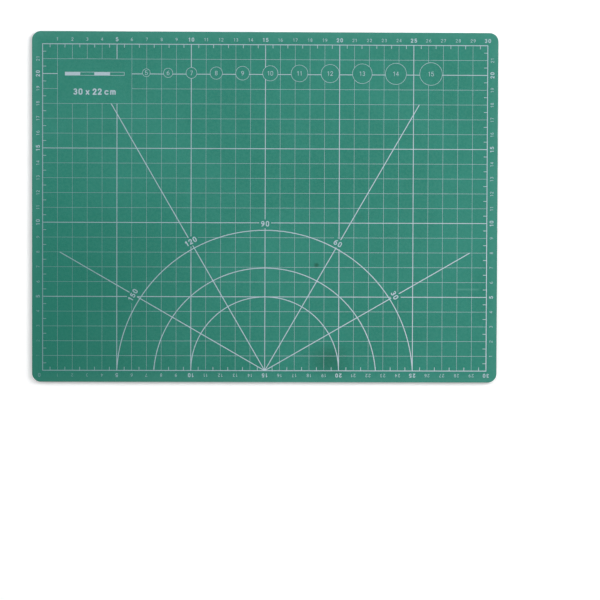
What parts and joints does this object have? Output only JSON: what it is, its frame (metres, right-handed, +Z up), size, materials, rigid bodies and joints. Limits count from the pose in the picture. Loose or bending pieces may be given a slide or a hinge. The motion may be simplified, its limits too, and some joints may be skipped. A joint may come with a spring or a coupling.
{
  "type": "self healing mat",
  "caption": "Reversible laminated cutting mat with rounded corners: a printed metric grid with circle and angle guides on one face and an inch grid on the other.",
  "frame": {"origin": "centre of the mat's footprint, at the plane that its lower, inch face rests on", "axes": "+X along the long side, +Y along the short side, +Z up out of the metric face"},
  "size_m": [0.3144, 0.2364, 0.0031],
  "materials": {
    "green_vinyl": "fine matte grain",
    "black_vinyl": "fine matte grain",
    "core_vinyl": "dull cut edge",
    "stiff_plastic": "dull cut edge",
    "metric_ink": "flat screen print",
    "inch_ink": "flat screen print"
  },
  "bodies": {
    "root": {"inch_frame_near": "inch_ink", "inch_frame_far": "inch_ink", "inch_frame_left": "inch_ink", "inch_frame_right": "inch_ink", "inch_grid": "inch_ink", "half_inch_ticks": "inch_ink", "quarter_inch_ticks": "inch_ink", "eighth_inch_ticks": "inch_ink", "inch_numerals": "inch_ink", "inch_unit_mark": "inch_ink", "angle_guide_lines": "inch_ink", "angle_guide_arcs": "inch_ink", "angle_guide_lettering": "inch_ink", "degree_marks": "inch_ink", "span_gauge_lines": "inch_ink", "corner_diagonals": "inch_ink", "black_cutting_sheet": "black_vinyl", "lower_stiffener_sheet": "stiff_plastic", "core_sheet": "core_vinyl", "upper_stiffener_sheet": "stiff_plastic", "green_cutting_sheet": "green_vinyl", "metric_border": "metric_ink", "metric_major_grid": "metric_ink", "metric_minor_grid": "metric_ink", "metric_top_numerals": "metric_ink", "metric_bottom_numerals": "metric_ink", "metric_left_numerals": "metric_ink", "metric_right_numerals": "metric_ink", "circle_rings": "metric_ink", "circle_numerals": "metric_ink", "protractor_rays": "metric_ink", "protractor_arcs": "metric_ink", "protractor_numerals": "metric_ink", "title_panel": "metric_ink"}
  },
  "joints": []
}
